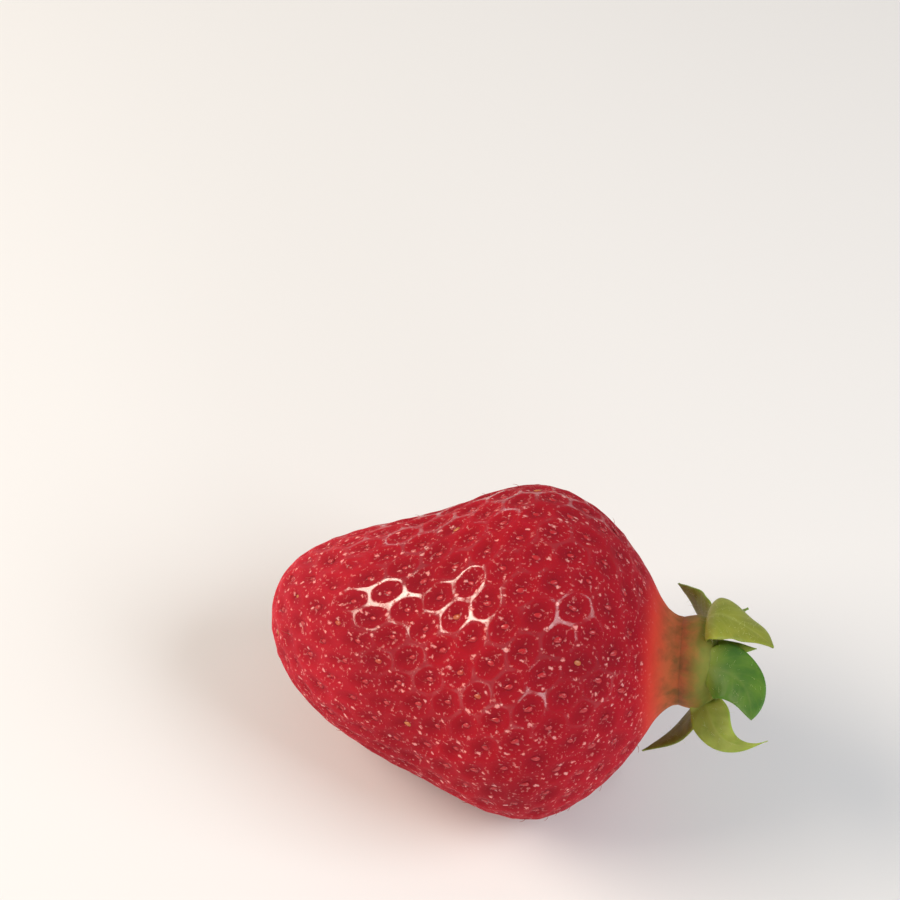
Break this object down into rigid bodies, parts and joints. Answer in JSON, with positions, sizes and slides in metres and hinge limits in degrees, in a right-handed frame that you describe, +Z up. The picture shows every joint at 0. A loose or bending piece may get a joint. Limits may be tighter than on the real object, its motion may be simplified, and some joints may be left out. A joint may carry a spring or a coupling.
{
  "type": "strawberry",
  "caption": "Ripe strawberry lying on its side, with seeded pitted skin, a bare neck and a green calyx of sepals and bractlets.",
  "frame": {"origin": "on the surface that the berry lies on, under the middle of its box", "axes": "+X along the berry from its tip to its stalk, +Z up, as it lies with its tip 12 degrees low"},
  "size_m": [0.0592, 0.038, 0.0379],
  "materials": {
    "flesh": "glossy waxy skin over red flesh, with paler seeds",
    "leaf": "fresh green leaf, finely hairy, satin",
    "bractlet": "fresh green leaf, finely hairy, satin",
    "stalk": "pale green stalk, torn end"
  },
  "bodies": {
    "root": {"fruit": "flesh", "calyx_base": "leaf", "stalk_stub": "stalk", "sepal_1": "leaf", "sepal_2": "leaf", "sepal_3": "leaf", "sepal_4": "leaf", "sepal_5": "leaf", "bractlet_1": "bractlet", "bractlet_2": "bractlet", "bractlet_3": "bractlet", "bractlet_4": "bractlet", "bractlet_5": "bractlet"}
  },
  "joints": []
}
